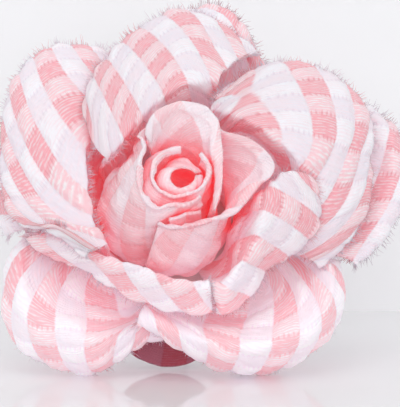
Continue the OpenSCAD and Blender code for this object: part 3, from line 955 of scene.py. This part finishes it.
def backing_piece():
    """The felt disc, slightly wavy at its rim."""
    spokes, wavy_from = 180, 21
    # The rings' radii, and how far the worn rim is rounded down from the disc's faces
    rings = BACKING_R - np.array([24, 20, 16, 12, 8, 4, 1.6, 0.6, 0.1, 0])
    depth = np.array([0, 0, 0, 0, 0, 0, 0.05, 0.3, 0.8, BACKING_T / 2])
    turn = np.linspace(0, 2 * math.pi, spokes, endpoint=False)
    profile_r = np.concatenate([rings[1:], rings[-2:0:-1]])
    profile_z = np.concatenate([-depth[1:], -BACKING_T + depth[-2:0:-1]])
    # Seven shallow waves round the rim, and seventeen finer ones
    wave = 1 - 0.004 * (1 + np.sin(7 * turn)) - 0.003 * (1 + np.sin(17 * turn + 1))
    r = profile_r[:, None] * np.where(profile_r[:, None] > wavy_from, wave[None], 1)
    points = np.stack(
        [r * np.cos(turn), r * np.sin(turn), profile_z[:, None] + 0 * r], -1
    ).reshape(-1, 3)
    points = np.concatenate([points, [[0, 0, 0], [0, 0, -BACKING_T]]])
    index = np.arange(len(profile_r) * spokes).reshape(len(profile_r), spokes)
    after = np.roll(index, -1, 1)
    walls = np.stack([index[:-1], index[1:], after[1:], after[:-1]], -1).reshape(-1, 4)
    front = np.stack([np.full(spokes, len(points) - 2), index[0], after[0]], -1)
    back = np.stack([np.full(spokes, len(points) - 1), after[-1], index[-1]], -1)
    faces = [walls, np.concatenate([front, back])]
    return new_piece("felt_backing", points, faces, ["backing"])


def stitch_curve(radius, turns, heights):
    """A stitch on the felt's back through the given radii, turns of the circle and heights."""
    around = 2 * math.pi * turns
    return np.stack([radius * np.cos(around), radius * np.sin(around), heights], -1)


def stitches_piece():
    """Stitches over the pin's foot and a ring of running stitches on the felt's back."""
    over_foot, running, running_r, thread_sides = 8, 28, 19.0, 8
    foot_back = -BACKING_T - SEAT_GAP - FOOT_T
    # From the back of the foot over its rim and into the felt
    reach = np.array([2.6, 4.4, FOOT_R + 0.35, FOOT_R + 0.5, FOOT_R + 0.6])
    on_foot = foot_back + np.array([-0.2, -0.25, 0.2])
    heights = np.concatenate([on_foot, -BACKING_T + np.array([-0.3, 0.3])])
    curves = [stitch_curve(reach, (k + 0.5) / over_foot, heights) for k in range(over_foot)]
    # Out of the felt, along it and in again, in shares of the way to the next stitch
    stations = np.array([0.12, 0.2, 0.4, 0.6, 0.68])
    heights = -BACKING_T - np.array([-0.3, 0.12, 0.2, 0.12, -0.3])
    curves += [stitch_curve(running_r, (k + stations) / running, heights) for k in range(running)]
    return tubes_piece("stitches", curves, STITCH_R, thread_sides)


def tubes_piece(name, curves, radius, sides):
    """Round threads along curves, closed at both ends."""
    points, quads, ends = [], [], []
    for line in curves:
        ahead = unit(np.gradient(line, axis=0))
        side = unit(np.cross(ahead, [0.0, 0.1, 1.0]))
        other = np.cross(ahead, side)
        first = sum(len(block) for block in points)
        for k in range(sides):
            turn = 2 * math.pi * k / sides
            points.append(line + radius * (side * math.cos(turn) + other * math.sin(turn)))
        long = len(line)
        index = first + np.arange(sides * long).reshape(sides, long)
        after = np.roll(index, -1, 0)
        quads.append(
            np.stack([index[:, :-1], after[:, :-1], after[:, 1:], index[:, 1:]], -1).reshape(-1, 4)
        )
        ends += [index[::-1, 0], index[:, -1]]
    faces = [np.concatenate(quads), np.array(ends)]
    return new_piece(name, np.concatenate(points), faces)


def place_camera():
    """A camera that looks a little down on the flower and frames it as the photo does."""
    distance, sideways, upwards = 400.0, 4.0, 4.58
    elevation = math.radians(4)
    photo_w, photo_h, mm_per_px, sensor = 400, 407, 0.235, 36.0
    to_camera = np.array([0, -math.cos(elevation), math.sin(elevation)])
    up = np.array([0, math.sin(elevation), math.cos(elevation)])
    place = ORIGIN + to_camera * distance + up * upwards + np.array([sideways, 0, 0])
    data = bpy.data.cameras.new("camera")
    data.sensor_width = sensor
    data.lens = distance / mm_per_px * sensor / max(photo_w, photo_h)
    data.clip_start, data.clip_end = 0.01, 10
    camera = bpy.data.objects.new("camera", data)
    axes = np.eye(4)
    axes[:3, 0], axes[:3, 1], axes[:3, 2], axes[:3, 3] = (1, 0, 0), up, to_camera, place * MM
    camera.matrix_world = Matrix(axes.tolist())
    bpy.context.scene.collection.objects.link(camera)
    bpy.context.scene.camera = camera


def stage_material(name, tone, mirror_share, roughness):
    """A plain surface with a share of mirror reflection, and clear from behind."""
    material = bpy.data.materials.new(name)
    material.use_nodes = True
    tree = material.node_tree
    tree.nodes.clear()
    output = tree.nodes.new("ShaderNodeOutputMaterial")
    matt = tree.nodes.new("ShaderNodeBsdfDiffuse")
    matt.inputs["Color"].default_value = tone
    gloss = tree.nodes.new("ShaderNodeBsdfGlossy")
    gloss.inputs["Roughness"].default_value = roughness
    blend = tree.nodes.new("ShaderNodeMixShader")
    blend.inputs["Fac"].default_value = mirror_share
    tree.links.new(matt.outputs["BSDF"], blend.inputs[1])
    tree.links.new(gloss.outputs["BSDF"], blend.inputs[2])
    # Seen from behind, the wall doesn't hide the flower
    clear = tree.nodes.new("ShaderNodeBsdfTransparent")
    facing = tree.nodes.new("ShaderNodeNewGeometry")
    shown = tree.nodes.new("ShaderNodeMixShader")
    tree.links.new(facing.outputs["Backfacing"], shown.inputs["Fac"])
    tree.links.new(blend.outputs["Shader"], shown.inputs[1])
    tree.links.new(clear.outputs["BSDF"], shown.inputs[2])
    tree.links.new(shown.outputs["Shader"], output.inputs["Surface"])
    return material


def stage_plane(name, corners, material):
    """A flat part of the studio, which isn't part of the object."""
    mesh = bpy.data.meshes.new(name)
    mesh.from_pydata([Vector(c) for c in corners], [], [(0, 1, 2, 3)])
    mesh.materials.append(material)
    plane = bpy.data.objects.new(name, mesh)
    bpy.context.scene.collection.objects.link(plane)


# The lights: name, place and width in metres, power in watts, and tone
LIGHTS = (
    ("key", (-0.4, -1.1, 0.55), 0.6, 1.7, (0.99, 0.99, 1)),
    ("top", (0, -0.6, 1.1), 1.0, 3.0, (1, 1, 1)),
    ("fill", (0.15, -1.2, 0.12), 0.8, 4.2, (0.99, 0.99, 1)),
)
LIT_POINT = (0, 0, 0.04)


def area_light(name, place, size, power, tone):
    """A soft square light aimed at the flower."""
    data = bpy.data.lights.new(name, "AREA")
    data.shape = "SQUARE"
    data.size, data.energy, data.color = size, power, tone
    light = bpy.data.objects.new(name, data)
    light.location = Vector(place)
    aim = Vector(LIT_POINT) - Vector(place)
    light.rotation_mode = "QUATERNION"
    light.rotation_quaternion = aim.to_track_quat("-Z", "Y")
    bpy.context.scene.collection.objects.link(light)


def build_studio():
    """Pale glossy table, pale wall close behind, and soft light from the left, above and front."""
    side, front, back, wall_y, wall_h = 3.0, -2.0, 3.0, 0.075, 3.0
    on_table = ((-side, front), (side, front), (side, back), (-side, back))
    on_wall = ((-side, 0), (side, 0), (side, wall_h), (-side, wall_h))
    table = stage_material("table", (0.965, 0.97, 0.985, 1), mirror_share=0.36, roughness=0.05)
    wall = stage_material("wall", (0.915, 0.925, 0.94, 1), mirror_share=0.0, roughness=0.5)
    stage_plane("table", [(x, y, 0) for x, y in on_table], table)
    stage_plane("wall", [(x, wall_y, z) for x, z in on_wall], wall)
    for light in LIGHTS:
        area_light(*light)
    world = bpy.data.worlds.new("studio")
    world.use_nodes = True
    sky = world.node_tree.nodes["Background"]
    sky.inputs["Color"].default_value = (1, 1, 1, 1)
    sky.inputs["Strength"].default_value = 0.60
    bpy.context.scene.world = world
    bpy.context.scene.cycles.diffuse_bounces = 10
    bpy.context.scene.view_settings.view_transform = "Standard"


def cut_size(sheet):
    """The flat width, length and area of a sheet's cut before it was shaped, in metres."""
    samples = 200
    across = np.linspace(0, len(sheet["rows"]) - 1, samples)
    u, t = np.meshgrid(across, np.linspace(0, EDGE_STOP, samples), indexing="ij")
    points = mid_points(sheet, u, t)
    width = lengths_along(points, 0)[-1].max() * MM
    length = lengths_along(points, 1)[:, -1].max() * MM
    a, b = np.diff(points[:, :-1], axis=0), np.diff(points[:-1], axis=1)
    area = np.linalg.norm(np.cross(a, b), axis=-1).sum() * MM * MM
    return round(float(width), 3), round(float(length), 3), round(float(area), 5)


def cloth_materials():
    """The gingham of each kind of sheet, and the loose threads in painted grey shade, deeper on
    the outer sheets at the top and right.
    """
    return {
        "outer": gingham_material("gingham_cloth"),
        "under": gingham_material("gingham_in_painted_shade", UNDER_PAINTED_SHADE),
        "core": gingham_material("gingham_core", painted_heart_share=PAINTED_HEART_SHARE),
        "wrap": gingham_material("gingham_wraps", painted_heart_share=PAINTED_HEART_SHARE, reach=6),
        "threads": gingham_material("gingham_threads", THREAD_PAINTED_SHADE, reach=0),
        "darker_shaded_threads": gingham_material("gingham_threads_darker_painted_shade", DARKER_THREAD_PAINTED_SHADE, reach=0),
    }


def sheet_kind(name):
    """The kind of a sheet: the core, a wrap of the heart, the under petal or an outer one."""
    if name == "core":
        return "core"
    if name == "under_petal":
        return "under"
    return "wrap" if name.endswith("wrap") else "outer"


def sheet_fringe(name, kind, surface, draw, materials):
    """A sheet's frayed threads as a list of one piece, or of none for the under petal."""
    if kind == "under":
        return []
    points, normals, place, stops = surface
    if kind in ("core", "wrap"):
        threads = raw_border_threads(draw, points, normals, place, **ROLLED_BORDER)
        return [fringe_piece("cloth_" + name, threads, draw, ROLLED_THREAD_R, materials[kind])]
    threads = raw_border_threads(draw, points, -normals, place, **PETAL_BORDER)
    if "low" not in name:
        threads += lip_threads(draw, points, -normals, place, stops, LONGEST_ON_LIP)
    # The outer sheets at the top and right get threads in a deeper painted shade
    far = name in ("outer_top", "outer_right")
    material = materials["darker_shaded_threads" if far else "threads"]
    return [fringe_piece("cloth_" + name, threads, draw, PETAL_THREAD_R, material)]


def build_cloth():
    """Every sheet with its fringe."""
    surface_seed, thread_seed = 100, 500
    materials = cloth_materials()
    for number, (name, sheet) in enumerate(SHEETS.items()):
        kind = sheet_kind(name)
        sheet["rows"] = np.array(sheet["rows"], float)
        sheet["back_face"] = kind == "under"
        sheet["shown_side"] = 1 if kind in ("core", "wrap") else -1
        piece, *surface = cloth_piece(name, sheet, surface_seed + number)
        piece.data.materials.append(materials[kind])
        draw = np.random.default_rng(thread_seed + number)
        fringes = sheet_fringe(name, kind, surface, draw, materials)
        width, length, area = cut_size(sheet)


def build_backing():
    """The felt disc, its stitches and the pin's finish."""
    felt = backing_piece()
    stitches = stitches_piece()
    material = felt_material()
    for part in (felt, stitches):
        part.data.materials.append(material)
    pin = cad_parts["pin"]
    pin.data.materials.clear()
    pin.data.materials.append(steel_material())


build_backing()
build_cloth()
build_studio()
place_camera()
